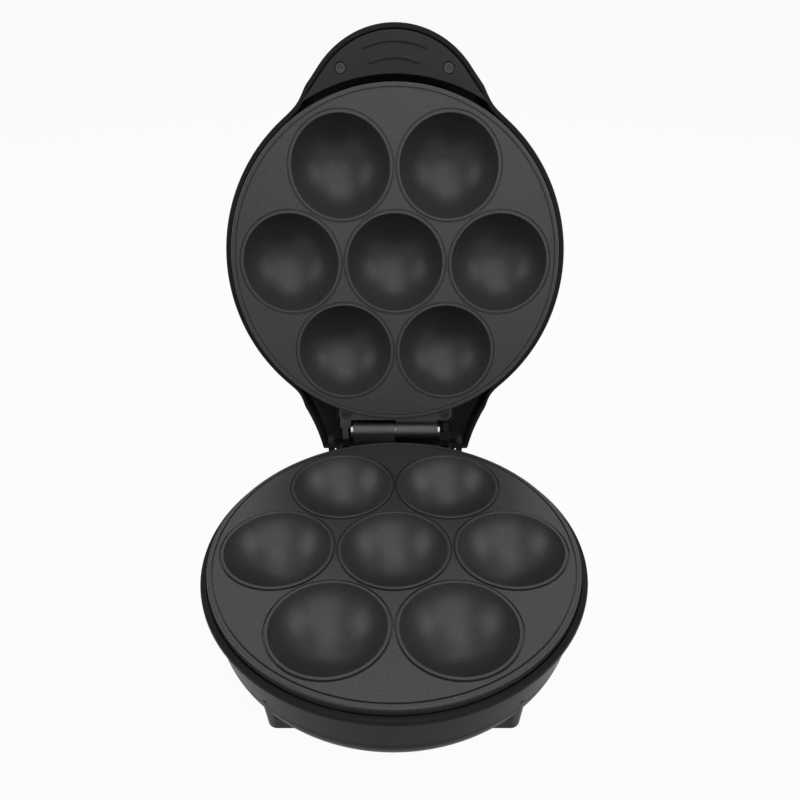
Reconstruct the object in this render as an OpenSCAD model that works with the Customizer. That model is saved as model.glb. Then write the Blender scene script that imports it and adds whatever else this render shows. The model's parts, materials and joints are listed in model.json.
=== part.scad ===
// Round cake pop maker: a bowl-shaped base and a hinged lid, each with a seven-cup cooking plate.
// The lid is drawn closed, then swung open about the hinge pin into its resting pose.
// Heights in the modules count from the crests of the base plate's rings, which lie at plate_z.

/* [Cooking plates] */
// Distance between neighbouring cup centres
cup_pitch = 60; // [58:0.5:62]
// Radius of the ball that each cup is cut with
cup_ball_r = 28.4; // [28:0.1:28.6]
// Depth of a cup below the ring crests
cup_depth = 21; // [18:0.5:22]
// Thickness of the cup walls
cup_wall = 2.4; // [2:0.1:2.6]
// Outer radius of a plate
plate_r = 94.7; // [94:0.1:95]
// Height of the plate's outer edge
plate_edge_h = 5.2; // [4.5:0.1:5.4]

/* [Base] */
// Height of the ring crests above the table
plate_z = 52; // [50:0.5:60]
// Outer radius of the housing's lip
lip_r = 98.4; // [98:0.1:99]
// Depth from the ring crests to the underside of the base housing
base_depth = 48.5; // [47:0.5:50]
// Wall thickness of both housings
wall = 2.5; // [2:0.1:3]
// Distance from the middle to the outer side of a front leg
front_leg_x = 60.5; // [58:0.5:62]
// Distance from the middle to the outer side of a rear leg
rear_leg_x = 46; // [44:0.5:48]

/* [Lid] */
// Angle between the closed lid and the resting, open lid
lid_angle = 105.6; // [95:0.1:106]
// Gap between the ring crests of the two plates with the lid closed
crest_gap = 0.4; // [0.3:0.1:1]
// Depth of the lid, from its ring crests to its top
lid_depth = 38; // [36:0.5:42]
// Distance from the lid's centre to the tip of the handle
handle_tip = 123.1; // [120:0.1:128]
// Radius of the handle's round end
handle_r = 51.2; // [48:0.1:54]
// Distance from the lid's centre to the rear wall of the hinge skirt
skirt_back = 116; // [115:0.5:118]

/* [Hinge] */
// Distance from the plates' centre to the hinge axis
hinge_y = 102.7; // [102:0.1:104]
// Height of the hinge axis above the base plate's ring crests
hinge_z = 2.85; // [2.5:0.05:3.2]
// Outer radius of the rolled knuckles
knuckle_r = 4.65; // [4.4:0.05:4.8]
// Radius of the hinge pin
pin_r = 2.95; // [2.5:0.05:3]
// Length of one knuckle
knuckle_l = 26.2; // [24:0.1:28]

/* [Hidden] */
$fn = 64;
arc_steps = 28;

// The part's origin is under the middle of its resting outline, on the table.
// The rearmost point of the open lid lies on the rounding of its dome.
dome_flat_r = 68;
lid_turn_r = 94.6;
lid_turn_z = 20;
dome_reach = norm([(lid_turn_r - dome_flat_r) * cos(lid_angle),
    (lid_depth - lid_turn_z) * sin(lid_angle)]);
lid_tail = hinge_y - (hinge_y + dome_flat_r) * cos(lid_angle)
    + (lid_turn_z + crest_gap - hinge_z) * sin(lid_angle) + dome_reach;
plate_y = (lip_r - lid_tail) / 2;

// Plate surface
cup_bearings = [0, 60, 120, 180, 240, 300];
land_z = -0.6;
ring_in = sqrt(pow(cup_ball_r, 2) - pow(cup_ball_r - cup_depth, 2));
ring_out = ring_in + 1.5;
groove_w = 0.65;
groove_depth = 0.7;
rim_groove_r = 91.8;
plate_t = 2.6;
edge_wall = 2.6;

// Stack inside both halves
boss_at = 70;
boss_bearings = [30, 150, 270];
boss_r = 4.6;
boss_end = -28.4;
post_r = 5.2;
well_r = 4.2;
tapped_r = 1.7;
screw_r = 1.62;
clear_r = 2.2;
shield_r = 86;
element_r = 3.3;
element_ring = cup_pitch / 2;
element_gap = 0.06;
element_z = cup_ball_r - cup_depth
    - sqrt(pow(cup_ball_r + cup_wall + element_r + element_gap, 2) - pow(element_ring, 2));
element_open_deg = 15;

// Housing profile
lip_top = -4.4;
lip_h = 2.4;
lip_in = 95.5;
edge_gap = 0.8;
body_top_r = 96.6;
base_turn_r = 93.4;
base_turn_z = -28.5;
base_flat_r = 72;
floor_in = -base_depth + wall;
cover_r = 58;
cover_open_r = 46;
cover_t = 1.5;
cover_screw_at = 52;

// Legs: height, pad and its recess, plan, lean of the outer face, outer corner of each pair
foot_h = plate_z - 0.8;
pad_recess = 1;
pad_r = 5.5;
pad_gap = 0.02;
leg_w = 16;
leg_l = 14.5;
leg_corner = 5;
leg_lean = 10;
front_leg_y = 70.2;
rear_leg_y = 83;
leg_top = -26;

// Hinge details
leaf_t = 1.2;
leaf_half = 35;
leaf_front_y = 86;
leaf_screw_x = 31;
base_leaf_screw_y = 98.6;
lid_leaf_screw_y = 93;
leaf_hole_r = 1.9;
lobe_r = 4.4;
base_leaf_top = -plate_edge_h - 0.6;
lid_leaf_z = hinge_z + knuckle_r - leaf_t;
bore_r = pin_r + 0.05;
knuckle_gap = 0.3;
block_half = 37;
block_front_y = 88;
block_l = 9.5;
block_h = 14;

// Shelf under the base leaf, and the ear that each leaf holds against the other
seat_front_y = 88.5;
seat_rear_y = 101.3;
seat_floor = -24;
lid_ear_x = -34.8;
lid_ear_w = 6.7;
lid_ear_y = hinge_y - 0.5;
lid_ear_end = hinge_y + 7.3;
lid_stem_x = -33.5;
lid_stem_w = 3.7;
base_ear_x = 28;
base_ear_w = 6.5;
base_ear_y = hinge_y - 1.1;
base_ear_z = 1.5;
base_stem_x = 30.05;
base_stem_w = 3.25;
base_stem_z = hinge_z + 5.3;
rivet_r = 3.4;
rivet_t = 1.2;

// Handle and skirt outlines
handle_centre = handle_tip - handle_r;
handle_blend = 290;
handle_reach = lip_r + handle_blend;
blend_v = (pow(handle_reach, 2) - pow(handle_r + handle_blend, 2) + pow(handle_centre, 2))
    / (2 * handle_centre);
blend_x = sqrt(pow(handle_reach, 2) - pow(blend_v, 2));
handle_end_deg = atan2(blend_v - handle_centre, blend_x);
handle_root_deg = atan2(blend_v, blend_x);
skirt_blend = 105.4;
skirt_deg = 46.85;
skirt_x = (lip_r + skirt_blend) * sin(skirt_deg);
skirt_v = (lip_r + skirt_blend) * cos(skirt_deg);
skirt_end_deg = asin((skirt_v - skirt_back) / skirt_blend);
handle_low = 3.4;
handle_top = 22;
handle_tip_top = 13;
cover_inset = 2.8;
slot_r = 98.6;
lamp_at = 60;
lamp_x = 8;
holder_l = 9.2;
gland_z = -33;
gland_y = 95.2;
clamp_y = 72;
clamp_screw_x = 8.5;
block_y = 60;
tab_x = 39.4;
tab_y = 91.7;
tab_r = 4;
tab_t = 3.2;
tab_top = 6.2;
tab_root = -14.5;
cover_face = 3.6;
handle_cover_t = 2.2;
handle_screw_x = 29;
handle_screw_v = 101.5;
ridge_radii = [43, 35];
ridge_half_deg = 24;

function polar(r, a) = [r * cos(a), r * sin(a)];
function arc(c, r, a0, a1) = [for (i = [0:arc_steps]) c + polar(r, a0 + (a1 - a0) * i / arc_steps)];
function flip(points) = [for (i = [len(points) - 1:-1:0]) [-points[i][0], points[i][1]]];

// Quarter ellipse of a housing profile, from its turn to the edge of its flat
function dome(turn_r, flat_r, turn_z, flat_z) = [for (i = [0:arc_steps])
    [flat_r + (turn_r - flat_r) * cos(90 * i / arc_steps),
    turn_z + (flat_z - turn_z) * sin(90 * i / arc_steps)]];

// Right half of the handle outline, from its root on the lid's circle to its tip
function handle_side(inset) = concat(
    arc([blend_x, blend_v], handle_blend + inset, 180 + handle_root_deg, 180 + handle_end_deg),
    arc([0, handle_centre], handle_r - inset, handle_end_deg, 90));

// Right half of the skirt outline, from its root on the lid's circle to its rear corner
function skirt_side(inset) = arc([skirt_x, -skirt_v], skirt_blend + inset, 180 - 90 + skirt_deg,
    180 + skirt_end_deg);

// Puts a piece that is drawn in plate heights where the base stands
module in_base() { translate([0, plate_y, plate_z]) children(); }

// Puts a piece that is drawn in lid heights, closed, on the open lid
module in_lid() {
    in_base()
        translate([0, hinge_y, hinge_z])
            rotate([-lid_angle, 0, 0])
                translate([0, -hinge_y, crest_gap - hinge_z])
                    children();
}

module at_cups() {
    children();
    for (a = cup_bearings) translate(polar(cup_pitch, a)) children();
}

module at_bosses(r = boss_at) {
    for (a = boss_bearings) translate(polar(r, a)) children();
}

module tube(r_out, r_in, h) {
    difference() {
        cylinder(r = r_out, h = h);
        translate([0, 0, -1]) cylinder(r = r_in, h = h + 2);
    }
}

// Section of one raised ring, with the fine groove outside it
module cup_ring() {
    rotate_extrude()
        polygon([[ring_in - 0.2, land_z - 1], [ring_in - 0.2, -0.25], [ring_in + 0.25, 0],
            [ring_out - 0.35, 0], [ring_out, -0.3], [ring_out, land_z - 1]]);
}

module cup_groove() {
    rotate_extrude()
        translate([ring_out, land_z - groove_depth]) square([groove_w, groove_depth + 0.1]);
}

module ball(r) { translate([0, 0, cup_ball_r - cup_depth]) sphere(r, $fn = 96); }

// Cast plate with seven cups, ring crests up at height 0, bosses below
module cooking_plate() {
    difference() {
        union() {
            difference() {
                union() {
                    rotate_extrude($fn = 128)
                        polygon([[0, land_z], [plate_r - 0.7, land_z], [plate_r, land_z - 0.7],
                            [plate_r, -plate_edge_h], [plate_r - edge_wall, -plate_edge_h],
                            [plate_r - edge_wall, land_z - plate_t], [0, land_z - plate_t]]);
                    intersection() {
                        at_cups() ball(cup_ball_r + cup_wall);
                        translate([0, 0, land_z - 30]) cylinder(r = plate_r - 1, h = 30);
                    }
                }
                at_cups() cup_groove();
            }
            at_cups() cup_ring();
            at_bosses() translate([0, 0, boss_end]) cylinder(r = boss_r, h = -boss_end - 2);
        }
        at_cups() ball(cup_ball_r);
        at_bosses() translate([0, 0, boss_end - 1]) cylinder(r = tapped_r, h = 16);
        rotate_extrude($fn = 128)
            translate([rim_groove_r - 0.3, land_z - groove_depth]) square([0.6, groove_depth + 0.1]);
    }
}

// Sheathed element, an open ring nested between the centre cup and the outer cups
module heating_element() {
    translate([0, 0, element_z]) {
        rotate([0, 0, 90 + element_open_deg])
            rotate_extrude(angle = 360 - 2 * element_open_deg)
                translate([element_ring, 0]) circle(element_r);
        for (s = [-1, 1]) rotate([0, 0, 90 + s * element_open_deg])
            translate([element_ring, 0, 0]) {
                translate([0, 0, -18]) cylinder(r = element_r + 0.2, h = 18);
                translate([0, 0, -24]) cylinder(r = 1.2, h = 7);
            }
    }
}

// Pan of thin sheet under the cups, with an upturned edge
module heat_shield(t) {
    difference() {
        translate([0, 0, boss_end - 0.05 - t])
            difference() {
                cylinder(r = shield_r, h = 7, $fn = 128);
                translate([0, 0, t]) cylinder(r = shield_r - t, h = 7, $fn = 128);
            }
        at_bosses() translate([0, 0, boss_end - 5]) cylinder(r = clear_r, h = 10);
        for (s = [-1, 1]) rotate([0, 0, 90 + s * element_open_deg])
            translate([element_ring, 0, boss_end - 5]) cylinder(r = element_r + 1.2, h = 10);
    }
}

// Fuse barrel with its two leads, lying along X
module thermal_fuse() {
    rotate([0, 90, 0]) {
        translate([0, 0, -6]) cylinder(r = 2, h = 12);
        translate([0, 0, -16]) cylinder(r = 0.6, h = 32);
    }
}

// Screw with its head at the origin, its shank towards +Z and a cross recess
module screw(head_r, head_h, shank_r, shank_l) {
    difference() {
        union() {
            translate([0, 0, -head_h]) cylinder(r = head_r, h = head_h);
            cylinder(r = shank_r, h = shank_l);
        }
        for (a = [0, 90]) rotate([0, 0, a])
            translate([-head_r * 0.62, -0.4, -head_h - 1]) cube([head_r * 1.24, 0.8, 1.9]);
    }
}

// Plan of one leg, its outer side at x and its face along X, with the outer corner rounded
module leg_plan(x) {
    translate([x - leg_w, 0]) square([leg_w - leg_corner, leg_l]);
    translate([x - leg_w, leg_corner]) square([leg_w, leg_l - leg_corner]);
    translate([x - leg_corner, leg_corner]) circle(leg_corner);
}

// Front right leg: a leaning block that ends inside the housing's wall
module leg(x, y) {
    wall_middle = dome(base_turn_r - wall / 2, base_flat_r, base_turn_z, wall / 2 - base_depth);
    difference() {
        intersection() {
            translate([0, -y, -foot_h]) rotate([leg_lean, 0, 0]) translate([0, 0, -leg_corner])
                linear_extrude(foot_h) leg_plan(x);
            translate([0, -lip_r, -foot_h]) cube([lip_r, lip_r, foot_h + leg_top]);
        }
        rotate_extrude($fn = 128)
            polygon(concat([[0, 0], [body_top_r - wall / 2, lip_top - lip_h]], wall_middle,
                [[0, wall / 2 - base_depth]]));
    }
}

// Seats of the four legs, each drawn as the front right one
module at_legs() {
    for (s = [0, 1]) mirror([s, 0, 0]) {
        leg_seat(front_leg_x, front_leg_y) children();
        mirror([0, 1, 0]) leg_seat(rear_leg_x, rear_leg_y) children();
    }
}

module leg_seat(x, y) { translate([x - leg_w / 2, leg_l / 2 - y, 0]) children(); }

module legs() {
    for (s = [0, 1]) mirror([s, 0, 0]) {
        leg(front_leg_x, front_leg_y);
        mirror([0, 1, 0]) leg(rear_leg_x, rear_leg_y);
    }
}

module foot_pad(grow) {
    translate([0, 0, -plate_z]) cylinder(r = pad_r + grow, h = plate_z - foot_h + pad_recess + grow);
}

module base_round() {
    outer = dome(base_turn_r, base_flat_r, base_turn_z, -base_depth);
    inner = dome(base_turn_r - wall, base_flat_r, base_turn_z, floor_in);
    rotate_extrude($fn = 128)
        polygon(concat([[lip_in, lip_top], [lip_r - 1, lip_top], [lip_r - 0.3, lip_top - 0.4],
            [lip_r, lip_top - 1.1], [lip_r, lip_top - lip_h], [body_top_r, lip_top - lip_h - 0.6]],
            outer, [[0, -base_depth], [0, floor_in]],
            [for (i = [arc_steps:-1:0]) inner[i]], [[body_top_r - wall, lip_top - lip_h - 0.6],
            [lip_in, lip_top - lip_h - 0.6]]));
}

module base_housing() {
    color("#1b1b1c") in_base()
        difference() {
            union() {
                difference() {
                    base_round();
                    translate([-block_half, 80, -8]) cube([2 * block_half, 30, 10]);
                }
                hinge_seat();
                legs();
                at_bosses() translate([0, 0, -47]) cylinder(r = post_r, h = 47 + boss_end - 0.75);
                for (a = boss_bearings) translate(polar(cover_screw_at, a))
                    translate([0, 0, -47.5]) cylinder(r = 4, h = 9);
                for (s = [-1, 1]) translate([s * clamp_screw_x, clamp_y, floor_in - 1])
                    cylinder(r = 3.4, h = 9.5);
                translate([0, gland_y, gland_z])
                    rotate([90, 0, 0]) cylinder(r = 9, h = 6);
            }
            base_cuts();
        }
}

// Shelf at the rear that carries the hinge, with the two round-topped stop tabs
module hinge_seat() {
    seat_top = base_leaf_top - leaf_t;
    seat_half = block_half + 0.3;
    translate([-seat_half, seat_front_y, seat_floor])
        cube([2 * seat_half, seat_rear_y - seat_front_y, seat_top - seat_floor]);
    for (s = [-1, 1]) translate([s * tab_x - tab_t / 2, tab_y, tab_top - tab_r]) {
        rotate([0, 90, 0]) cylinder(r = tab_r, h = tab_t);
        translate([0, -tab_r, tab_root + tab_r - tab_top])
            cube([tab_t, 2 * tab_r, tab_top - tab_r - tab_root]);
    }
}

module base_cuts() {
    translate([0, 0, -base_depth - 1]) cylinder(r = cover_r + 0.2, h = 1 + cover_t + 0.05);
    translate([0, 0, -base_depth - 1]) cylinder(r = cover_open_r, h = 5);
    at_bosses() translate([0, 0, -60]) cylinder(r = clear_r, h = 40);
    at_bosses() translate([0, 0, -60]) cylinder(r = well_r, h = 60 - 44);
    for (a = boss_bearings) translate(polar(cover_screw_at, a))
        translate([0, 0, -49]) cylinder(r = tapped_r, h = 9.5);
    at_legs() foot_pad(pad_gap);
    for (s = [-1, 1]) {
        translate([s * leaf_screw_x, base_leaf_screw_y, -20]) cylinder(r = tapped_r, h = 20);
        translate([s * clamp_screw_x, clamp_y, floor_in + 1]) cylinder(r = tapped_r, h = 10);
    }
    translate([0, gland_y + 1, gland_z]) rotate([90, 0, 0]) cylinder(r = 5.2, h = 12);
    translate([0, gland_y - 3, gland_z]) rotate([90, 0, 0]) cylinder(r = 7.2, h = 9);
}

module bottom_cover() {
    color("#2a2a2b") in_base()
        difference() {
            translate([0, 0, -base_depth]) cylinder(r = cover_r, h = cover_t);
            for (a = boss_bearings) translate(polar(cover_screw_at, a))
                translate([0, 0, -50]) cylinder(r = clear_r, h = 5);
            for (i = [-3:3]) translate([i * 9 - 1.5, -26, -50]) cube([3, 52, 5]);
        }
}

module bottom_cover_screws() {
    color("#8d8f92") in_base()
        for (a = boss_bearings) translate(polar(cover_screw_at, a))
            translate([0, 0, -base_depth]) screw(3, 1.3, screw_r, 8);
}

module foot_pads() {
    color("#101010") in_base() at_legs() foot_pad(0);
}

module base_cooking_plate() { color("#3a3a3c") in_base() cooking_plate(); }

module base_heating_element() { color("#6d6e70") in_base() heating_element(); }

module base_heat_shield() { color("#b9bcc0") in_base() heat_shield(0.6); }

module base_plate_screws() {
    color("#8d8f92") in_base() at_bosses() translate([0, 0, -44]) screw(3.6, 2, screw_r, 29);
}

// Snap-disc control under the shield, with two blade terminals
module thermostat() {
    color("#cfc8b4") in_base()
        translate([0, -element_ring - 8, boss_end - 0.75]) {
            translate([0, 0, -6]) cylinder(r = 8.2, h = 6);
            translate([0, 0, -9.5]) cylinder(r = 6.2, h = 4);
            for (s = [-1, 1]) translate([s * 4 - 0.4, -2, -14]) cube([0.8, 4, 5]);
        }
}

module base_thermal_fuse() {
    color("#d8d2c0") in_base() translate([-26, 26, boss_end - 2.8]) thermal_fuse();
}

module terminal_block() {
    color("#e6e2d6") in_base()
        translate([0, block_y, floor_in + 0.05])
            difference() {
                translate([-14, -5, 0]) cube([28, 10, 10]);
                for (i = [-1:1]) translate([i * 8.6, 0, 3]) cylinder(r = 1.9, h = 10);
                for (i = [-1:1]) translate([i * 8.6, -6, 3.2]) rotate([-90, 0, 0])
                    cylinder(r = 1.6, h = 12);
            }
}

// Saddle that holds the mains lead down on two posts, with its screws
module cord_clamp() {
    color("#dcd8cc") in_base()
        translate([0, clamp_y, floor_in + 8.55]) {
            difference() {
                translate([-12, -4, 0]) cube([24, 8, 2.6]);
                translate([0, 5, -0.6]) rotate([90, 0, 0]) cylinder(r = 2.8, h = 10);
                for (s = [-1, 1]) translate([s * clamp_screw_x, 0, -1])
                    cylinder(r = clear_r, h = 5);
            }
            for (s = [-1, 1]) translate([s * clamp_screw_x, 0, 2.65]) mirror([0, 0, 1])
                screw(3, 1.4, screw_r, 8);
        }
}

// Bush in the rear wall, through which the mains lead passes
module cord_gland() {
    color("#141414") in_base()
        translate([0, gland_y, gland_z]) rotate([90, 0, 0])
            difference() {
                union() {
                    translate([0, 0, -2.6]) cylinder(r = 7.4, h = 2.5);
                    translate([0, 0, -0.2]) cylinder(r = 5.1, h = 6.2);
                }
                translate([0, 0, -4]) cylinder(r = 3.3, h = 12);
            }
}

module leaf_plan(screw_y, rear_y) {
    translate([-leaf_half, leaf_front_y]) square([2 * leaf_half, screw_y - 1 - leaf_front_y]);
    translate([1 - leaf_screw_x, leaf_front_y])
        square([2 * leaf_screw_x - 2, rear_y - leaf_front_y]);
    for (s = [-1, 1]) translate([s * leaf_screw_x, screw_y]) circle(lobe_r);
}

module leaf_holes(screw_y) {
    for (s = [-1, 1]) translate([s * leaf_screw_x, screw_y, -20])
        cylinder(r = leaf_hole_r, h = 40);
}

module knuckle(side) {
    translate([side * (knuckle_gap / 2 + knuckle_l / 2), hinge_y, hinge_z])
        rotate([0, 90, 0]) translate([0, 0, -knuckle_l / 2])
            children();
}

// Lower leaf: flat under the plate's edge, turned up and rolled round the pin on the left,
// with an upright ear on the right
module base_hinge_leaf() {
    web_x = -knuckle_gap / 2 - knuckle_l;
    color("#3b3c3e") in_base()
        difference() {
            union() {
                translate([0, 0, base_leaf_top - leaf_t]) linear_extrude(leaf_t)
                    leaf_plan(base_leaf_screw_y, hinge_y - knuckle_r + leaf_t);
                translate([base_ear_x, base_leaf_screw_y, base_leaf_top - leaf_t])
                    cube([base_ear_w, base_ear_y + leaf_t - base_leaf_screw_y, leaf_t]);
                translate([base_ear_x, base_ear_y, base_leaf_top - leaf_t])
                    cube([base_ear_w, leaf_t, base_ear_z - base_leaf_top + leaf_t]);
                translate([base_stem_x, base_ear_y, base_leaf_top])
                    cube([base_stem_w, leaf_t, base_stem_z - base_leaf_top]);
                translate([web_x, hinge_y - knuckle_r, base_leaf_top - leaf_t])
                    cube([knuckle_l, leaf_t + 0.3, hinge_z - base_leaf_top + leaf_t]);
                knuckle(-1) cylinder(r = knuckle_r, h = knuckle_l);
            }
            knuckle(-1) translate([0, 0, -1]) cylinder(r = bore_r, h = knuckle_l + 2);
            leaf_holes(base_leaf_screw_y);
        }
}

// Upper leaf: flat behind the lid plate's edge, rolled round the pin on the right, with an ear on
// the left that comes to rest just above the lower leaf when the lid is open
module lid_hinge_leaf() {
    web_x = knuckle_gap / 2;
    color("#3b3c3e") in_lid() translate([0, 0, -crest_gap])
        difference() {
            union() {
                translate([0, 0, lid_leaf_z]) linear_extrude(leaf_t) {
                    leaf_plan(lid_leaf_screw_y, hinge_y - knuckle_r - 1);
                    translate([lid_ear_x, lid_leaf_screw_y])
                        square([lid_ear_w, lid_ear_y - lid_leaf_screw_y]);
                    translate([lid_stem_x, lid_leaf_screw_y])
                        square([lid_stem_w, lid_ear_end - lid_leaf_screw_y]);
                }
                translate([web_x, lid_leaf_screw_y, lid_leaf_z])
                    cube([knuckle_l, hinge_y - lid_leaf_screw_y, leaf_t]);
                knuckle(1) cylinder(r = knuckle_r, h = knuckle_l);
            }
            knuckle(1) translate([0, 0, -1]) cylinder(r = bore_r, h = knuckle_l + 2);
            leaf_holes(lid_leaf_screw_y);
        }
}

module base_hinge_screws() {
    color("#55575a") in_base()
        for (s = [-1, 1]) translate([s * leaf_screw_x, base_leaf_screw_y, base_leaf_top])
            mirror([0, 0, 1]) screw(2.8, 1.9, screw_r, 11);
}

module lid_hinge_screws() {
    color("#55575a") in_lid()
        for (s = [-1, 1]) translate([s * leaf_screw_x, lid_leaf_screw_y, lid_leaf_z - crest_gap])
            screw(2.9, 1.5, screw_r, 11);
}

module hinge_pin() {
    half = knuckle_gap / 2 + knuckle_l;
    color("#7c7e82") in_base()
        translate([0, hinge_y, hinge_z]) rotate([0, 90, 0]) {
            translate([0, 0, -half - 0.6]) cylinder(r = pin_r, h = 2 * half + 1.2);
            for (s = [-1, 1]) translate([0, 0, s * (half + 0.75) - rivet_t / 2])
                cylinder(r = rivet_r, h = rivet_t);
        }
}

module lid_cooking_plate() { color("#3a3a3c") in_lid() mirror([0, 0, 1]) cooking_plate(); }

module lid_heating_element() { color("#6d6e70") in_lid() mirror([0, 0, 1]) heating_element(); }

module lid_heat_shield() { color("#c4c7ca") in_lid() mirror([0, 0, 1]) heat_shield(0.5); }

module lid_plate_screws() {
    color("#8d8f92") in_lid() mirror([0, 0, 1])
        at_bosses() translate([0, 0, -32]) screw(3.6, 2, screw_r, 17);
}

module lid_thermal_fuse() {
    color("#d8d2c0") in_lid() mirror([0, 0, 1])
        translate([26, 0, boss_end - 2.7]) thermal_fuse();
}

// Round shell of the lid: lip, drafted side and shallow dome
module lid_round(inset) {
    top = dome(lid_turn_r - inset, dome_flat_r, lid_turn_z, lid_depth - inset);
    rotate_extrude($fn = 128)
        polygon(concat([[0, -1 + lip_h], [body_top_r - inset, -1 + lip_h]], top,
            [[0, lid_depth - inset]]));
}

// Space above the lid's rim plane and below the gentle fall towards handle and skirt
module outer_fall(low, inset) {
    rotate_extrude($fn = 128)
        polygon([[60, low], [130, low], [130, handle_tip_top - 2 - inset],
            [handle_tip, handle_tip_top - inset], [118, 17 - inset],
            [108, 20.2 - inset], [98, handle_top - inset], [60, handle_top + 4 - inset]]);
}

module skirt_fall(low, inset) {
    rotate_extrude($fn = 128)
        polygon([[60, low], [130, low], [130, 20 - inset], [98, handle_top - inset],
            [60, handle_top + 4 - inset]]);
}

module handle_plan(inset) {
    side = handle_side(inset);
    mirror([0, 1]) polygon(concat([[60, 60]], side, flip(side), [[-60, 60]]));
}

module skirt_plan(inset) {
    side = skirt_side(inset);
    last = side[arc_steps];
    back = -skirt_back + inset;
    mirror([0, 1]) polygon(concat([[62, -55]], side, [[last[0] - 3, back]],
        [[-last[0] + 3, back]], flip(side), [[-62, -55]]));
}

module handle_solid(low, inset) {
    intersection() {
        translate([0, 0, low]) linear_extrude(40) handle_plan(inset);
        outer_fall(low, inset);
    }
}

module skirt_solid(low, inset) {
    intersection() {
        translate([0, 0, low]) linear_extrude(40) skirt_plan(inset);
        skirt_fall(low, inset);
    }
}

module lid_housing() {
    color("#1b1b1c") in_lid()
        difference() {
            union() {
                difference() {
                    union() {
                        lid_round(0);
                        rotate_extrude($fn = 128)
                            polygon([[lip_in, -lip_top], [lip_r - 1, -lip_top],
                                [lip_r - 0.3, -lip_top + 0.4], [lip_r, -lip_top + 1.1],
                                [lip_r, -lip_top + lip_h], [body_top_r - 1, -lip_top + lip_h + 0.6],
                                [lip_in, -lip_top + lip_h + 0.6]]);
                        handle_solid(handle_low, 0);
                        skirt_solid(handle_low + 2, 0);
                    }
                    lid_round(wall);
                    translate([0, 0, -10]) cylinder(r = lip_in, h = 10 + plate_edge_h + edge_gap, $fn = 128);
                    handle_solid(-5, cover_inset);
                    skirt_solid(-5, 2.2);
                }
                lid_inside();
            }
            lid_cuts();
        }
}

// Hinge block, screw posts for the plate, and bosses for the handle cover's screws
module lid_inside() {
    translate([-block_half, block_front_y, lid_leaf_z + leaf_t - crest_gap + 0.02])
        cube([2 * block_half, block_l, block_h]);
    at_bosses() translate([0, 0, 0.6 - boss_end]) cylinder(r = post_r, h = 7.4);
    at_handle_screws() translate([0, 0, cover_face + handle_cover_t + 0.05])
        cylinder(r = well_r, h = 14);
}

module at_handle_screws() {
    for (s = [-1, 1]) translate([s * handle_screw_x, -handle_screw_v, 0]) children();
}

module lid_cuts() {
    at_bosses() {
        translate([0, 0, 25]) cylinder(r = clear_r, h = 20);
        translate([0, 0, 32]) cylinder(r = well_r, h = 20);
    }
    at_handle_screws() translate([0, 0, cover_face]) cylinder(r = tapped_r, h = 12.5);
    for (s = [-1, 1]) {
        translate([s * leaf_screw_x, lid_leaf_screw_y, 5]) cylinder(r = tapped_r, h = 14);
        translate([s * lamp_x, -lamp_at, lid_depth - 6]) cylinder(r = 3.6, h = 8);
    }
}

// Right half of a grip ridge's section, from its base to its middle
function ridge_half() = [[1.1, 0.4], [1.1, -0.3], [0.6, -0.8], [0, -0.8], [0, 0.4]];

// Curved grip ridge with round ends, about the centre of the handle's round end
module grip_ridge(r) {
    half = ridge_half();
    rotate([0, 0, -90 - ridge_half_deg])
        rotate_extrude(angle = 2 * ridge_half_deg)
            translate([r, 0]) polygon(concat([for (i = [0:2]) half[i]],
                [for (i = [2:-1:0]) [-half[i][0], half[i][1]]]));
    for (s = [-1, 1]) rotate([0, 0, -90 + s * ridge_half_deg]) translate([r, 0, 0])
        rotate_extrude() polygon(half);
}

// Underside cover of the handle, with two curved grip ridges
module handle_cover() {
    color("#202021") in_lid()
        difference() {
            union() {
                difference() {
                    translate([0, 0, cover_face]) linear_extrude(handle_cover_t)
                        handle_plan(cover_inset + 0.15);
                    cylinder(r = slot_r, h = 10, $fn = 128);
                }
                for (r = ridge_radii) translate([0, -handle_centre, cover_face]) grip_ridge(r);
            }
            at_handle_screws() {
                cylinder(r = 1.9, h = 10);
                cylinder(r = 3.2, h = cover_face + 1.4);
            }
        }
}

module handle_cover_screws() {
    color("#2c2d2f") in_lid()
        at_handle_screws() translate([0, 0, cover_face + 1.38]) screw(2.6, 1.1, screw_r, 10);
}

module lamp_lens(x) {
    translate([x, -lamp_at, lid_depth]) {
        translate([0, 0, 0.02]) cylinder(r1 = 4.8, r2 = 4, h = 1);
        translate([0, 0, -4]) cylinder(r = 3.5, h = 4.5);
    }
}

module power_lamp_lens() { color("#c0281e") in_lid() lamp_lens(-lamp_x); }

module ready_lamp_lens() { color("#2f9a3e") in_lid() lamp_lens(lamp_x); }

// Carrier behind the lenses with its two small lamps
module lamp_holder() {
    color("#e6e2d6") in_lid()
        translate([0, -lamp_at, 0]) {
            translate([-15, -4.4, 30]) cube([30, holder_l, 1.6]);
            for (s = [-1, 1]) translate([s * lamp_x, 0, 31.5]) cylinder(r = 2.2, h = 2.3);
            for (s = [-1, 1]) translate([s * 14 - 1, -4.4, 31]) cube([2, holder_l, 4.5]);
        }
}

base_housing();
bottom_cover();
bottom_cover_screws();
foot_pads();
base_cooking_plate();
base_heating_element();
base_heat_shield();
base_plate_screws();
thermostat();
base_thermal_fuse();
terminal_block();
cord_clamp();
cord_gland();
base_hinge_leaf();
base_hinge_screws();
hinge_pin();
lid_housing();
lid_cooking_plate();
lid_heating_element();
lid_heat_shield();
lid_plate_screws();
lid_thermal_fuse();
handle_cover();
handle_cover_screws();
lid_hinge_leaf();
lid_hinge_screws();
power_lamp_lens();
ready_lamp_lens();
lamp_holder();
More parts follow.
